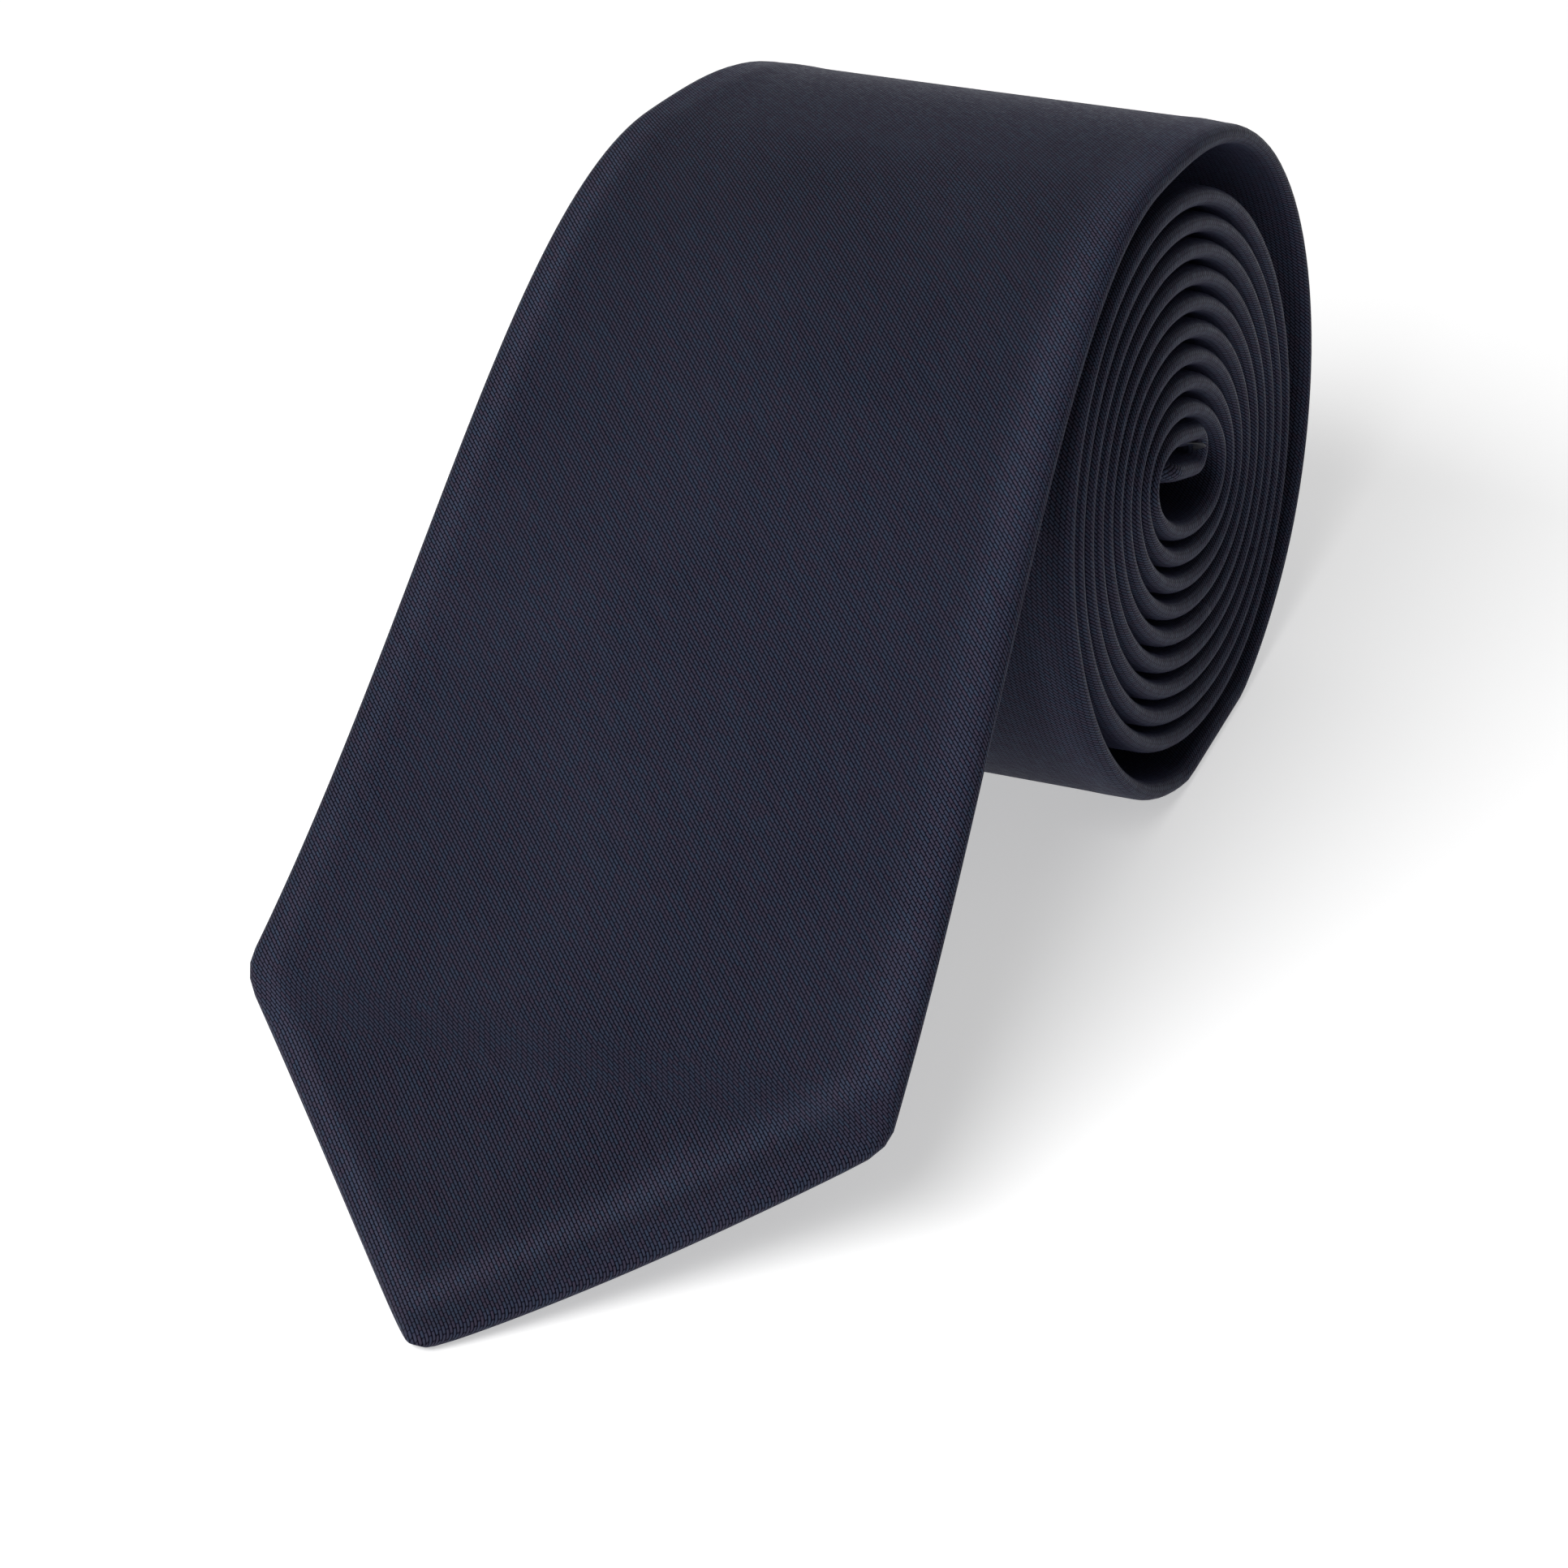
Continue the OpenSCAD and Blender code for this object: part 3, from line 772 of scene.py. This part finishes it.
def slip_lines():
    """Slack stitches that cross the lap, one after another up the back."""
    for s in np.arange(blade_tipping_len + 6, keeper_at - 1, slip_pitch):
        rows_p = p_at(s + np.array([0, 0.35, 0.8, 1.25, 1.7, 2.0]))
        x = back_middle(rows_p) + np.array([1.0, 0.7, 0.25, -0.25, -0.7, -1.0])
        h = -half + np.array([-0.25, -0.5, -0.55, -0.3, -0.1, 0.2])
        yield place(rows_p, x[:, None], h[:, None])[:, 0]


slip = stitched("slip_stitch", slip_lines(), slip_thread / 1000)
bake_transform(slip)
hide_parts("slip_stitch_free", "slip_stitch_rolled")

# ---------------------------------------------------------------------------------------------
# Bar tacks. A dense bar of thread, sewn over and over across the place where the two flaps
# part, so that they can't tear open. One is on the blade and one on the tail.
# ---------------------------------------------------------------------------------------------
tack_w = 9.0
tack_run = 1.6
tack_thread = 0.17


def tack_lines(s):
    """Loops side by side, each up, along the tie for the tack's width, and down."""
    middle = back_middle(p_at(np.array([s + tack_run / 2])))[0]
    rows_p = p_at(s + tack_run * np.array([0, 0.1, 0.35, 0.65, 0.9, 1]))
    for i, x in enumerate(np.arange(-tack_w / 2, tack_w / 2 + 0.01, 0.36)):
        over = 0.42 if x > 0 else 0.1
        h = -half + np.array([0.1, -0.3, -0.42, -0.42, -0.3, 0.1]) - over
        slant = middle + x + np.linspace(-0.12, 0.12, 6) * (-1) ** i
        yield place(rows_p, slant[:, None], h[:, None])[:, 0]


for name, s, body in (
    ("blade_bar_tack", blade_tipping_len + 1, "blade"),
    ("tail_bar_tack", tie_len - tail_tipping_len - 3, "roll"),
):
    tack = stitched(name + "_thread", tack_lines(s), tack_thread / 1000)
    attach(tack, body)
    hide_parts(name)

# ---------------------------------------------------------------------------------------------
# Keeper loop. A band of the same satin, folded into a flat tube with its seam underneath, and
# tacked down at its two turned-in ends. It bows away from the back, to let the tail through.
# ---------------------------------------------------------------------------------------------
keeper_w = 9.0
keeper_len = 40.0
keeper_wall = 0.3
keeper_tube = 0.8
keeper_bow = 1.3

band = np.array([.5, .62, .74, .86, .95, 1, 1, .95, .8, .6, .4, .2, .05, 0, 0, .05, .14, .26, .38, .499])
rise = np.array([0, 0, 0, 0, .02, .25, .75, .98, 1, 1, 1, 1, .98, .75, .25, .02, 0, 0, 0, 0])
span = np.concatenate([[-1, -0.995, -0.98], np.linspace(-0.95, 0.95, 30), [0.98, 0.995, 1]])
middle = back_middle(p_at(np.array([keeper_at + keeper_w / 2])))[0]
rows_p = p_at(keeper_at + keeper_w * band)
bow = keeper_bow * np.cos(span * math.pi / 2)[:, None] ** 1.5
pinch = np.minimum(1, 0.45 + 6 * (1 - abs(span)))[:, None]
h = -half - 0.5 - bow - keeper_tube * pinch * rise
x = np.broadcast_to(middle + keeper_len / 2 * span[:, None], h.shape)
rows = place(rows_p, x.T, h.T).transpose(1, 0, 2)
keeper = cloth(
    "keeper_band", rows[:, ::-1], flat_across(rows)[:, ::-1], keeper_len / 2 * span, thick=keeper_wall
)
keeper.data.materials.append(satin)
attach(keeper, "roll")
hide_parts("keeper_loop")

# ---------------------------------------------------------------------------------------------
# Label. A small blank woven tab, darker than the satin, with its two ends turned under. It is
# held by a few stitches at its corners, just below the keeper loop.
# ---------------------------------------------------------------------------------------------
label_len = 26.0
label_w = 22.0
label_thick = 0.3
label_turn = 4.0
label_from = keeper_at + keeper_w + 1

woven = bpy.data.materials.new("blank_woven_label")
woven.use_nodes = True
tree = woven.node_tree
shader = tree.nodes["Principled BSDF"]
flat_place = add(tree, "ShaderNodeUVMap", uv_map="cloth")
# Fine ribs across the tab, 0.6 mm apart, cut up by the warp
ribs = add(
    tree, "ShaderNodeTexWave", [("Vector", flat_place), ("Scale", 530.0)], out="Fac", bands_direction="Y"
)
warp = add(
    tree, "ShaderNodeTexWave", [("Vector", flat_place), ("Scale", 800.0)], out="Fac", bands_direction="X"
)
weave = add(tree, "ShaderNodeMix", [(0, 0.3), (2, ribs), (3, warp)])
tab_dye = add(
    tree, "ShaderNodeMix", [(0, weave), (6, linear("#0b0b11")), (7, linear("#22232e"))], out=2,
    data_type="RGBA",
)
tree.links.new(tab_dye, shader.inputs["Base Color"])
tab_relief = add(tree, "ShaderNodeBump", [("Strength", 0.5), ("Distance", 0.00006), ("Height", weave)])
tree.links.new(tab_relief, shader.inputs["Normal"])
shader.inputs["Roughness"].default_value = 0.45
shader.inputs["Specular IOR Level"].default_value = 0.3

turn_angles = np.linspace(0, 180, 7)
turn_r = 0.28
run = np.concatenate([
    [label_turn, label_turn * 0.5],
    turn_r - turn_r * sin_deg(turn_angles),
    np.linspace(1.5, label_len - 1.5, 16),
    label_len - turn_r + turn_r * sin_deg(turn_angles),
    [label_len - label_turn * 0.5, label_len - label_turn],
])
lift = np.concatenate([
    [0, 0], turn_r - turn_r * cos_deg(turn_angles), np.full(16, 2 * turn_r),
    turn_r + turn_r * cos_deg(turn_angles), [0, 0],
])
rows_p = p_at(label_from + run)
side = np.linspace(-1, 1, 13)
middle = back_middle(p_at(np.array([label_from + label_len / 2])))[0]
x = np.broadcast_to(middle + label_w / 2 * side, (len(run), 13))
swell = np.sin(np.pi * np.clip(run / label_len, 0, 1))[:, None]
h = -half - 0.5 - lift[:, None] - 0.25 * (1 - side ** 2) * swell
rows = place(rows_p, x, h)
tab_run = np.concatenate([[0], np.cumsum(np.linalg.norm(np.diff(rows[:, 6], axis=0), axis=1))]) * 1000
tab = cloth("label_tab", rows[:, ::-1], x[:, ::-1], tab_run, thick=label_thick)
tab.data.materials.append(woven)
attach(tab, "roll")
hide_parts("label")


def tab_lines():
    """Two small stitches over each corner of the tab, and two over each end of the keeper band."""
    for s, far in ((label_from + 1.2, label_w / 2), (label_from + label_len - 1.2, label_w / 2),
                   (keeper_at + 1.6, keeper_len / 2), (keeper_at + keeper_w - 1.6, keeper_len / 2)):
        for sign in (-1, 1):
            for shift in (-0.35, 0.35):
                rows_p = p_at(s + shift + np.linspace(-0.3, 0.3, 6))
                x = middle + sign * (far + np.array([0.7, 0.45, 0.1, -0.3, -0.7, -1.0]))
                h = -half - np.array([0.1, 0.6, 1.15, 1.25, 1.2, 0.8])
                yield place(rows_p, x[:, None], h[:, None])[:, 0]


tab_stitches = stitched("label_stitches", tab_lines(), slip_thread / 1000)
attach(tab_stitches, "roll")

# ---------------------------------------------------------------------------------------------
# Studio. A sheet of white paper as the floor, a wide soft light over the front, a weaker one
# behind that shines along the top of the roll, and a pale room round them.
# ---------------------------------------------------------------------------------------------
bm = bmesh.new()
bmesh.ops.create_grid(bm, x_segments=1, y_segments=1, size=3)
floor_mesh = bpy.data.meshes.new("floor")
bm.to_mesh(floor_mesh)
bm.free()
floor = bpy.data.objects.new("floor", floor_mesh)
bpy.context.scene.collection.objects.link(floor)
paper = bpy.data.materials.new("white_paper")
paper.use_nodes = True
paper_shader = paper.node_tree.nodes["Principled BSDF"]
paper_shader.inputs["Base Color"].default_value = linear("#f4f4f4")
paper_shader.inputs["Roughness"].default_value = 0.9
paper_shader.inputs["Specular IOR Level"].default_value = 0.1
paper_shader.inputs["Emission Color"].default_value = linear("#ffffff")
paper_shader.inputs["Emission Strength"].default_value = 0.48
floor_mesh.materials.append(paper)

room = bpy.data.worlds.new("room")
room.use_nodes = True
room.node_tree.nodes["Background"].inputs["Color"].default_value = linear("#ffffff")
room.node_tree.nodes["Background"].inputs["Strength"].default_value = 0.15
bpy.context.scene.world = room


def soft_light(name, at, aim, width, height, watts):
    """A rectangular soft light at a place, turned to aim at a point."""
    data = bpy.data.lights.new(name, "AREA")
    data.shape = "RECTANGLE"
    data.size = width
    data.size_y = height
    data.energy = watts
    light = bpy.data.objects.new(name, data)
    bpy.context.scene.collection.objects.link(light)
    light.location = at
    light.rotation_mode = "QUATERNION"
    light.rotation_quaternion = (Vector(aim) - Vector(at)).to_track_quat("-Z", "Y")


soft_light("softbox_front", (-0.25, -0.65, 0.80), (0, 0, 0.03), 0.9, 0.5, 9.8)
soft_light("softbox_back", (-0.35, 0.95, 0.60), (0, 0, 0.05), 1.3, 0.6, 1.2)
bpy.context.scene.view_settings.view_transform = "Standard"
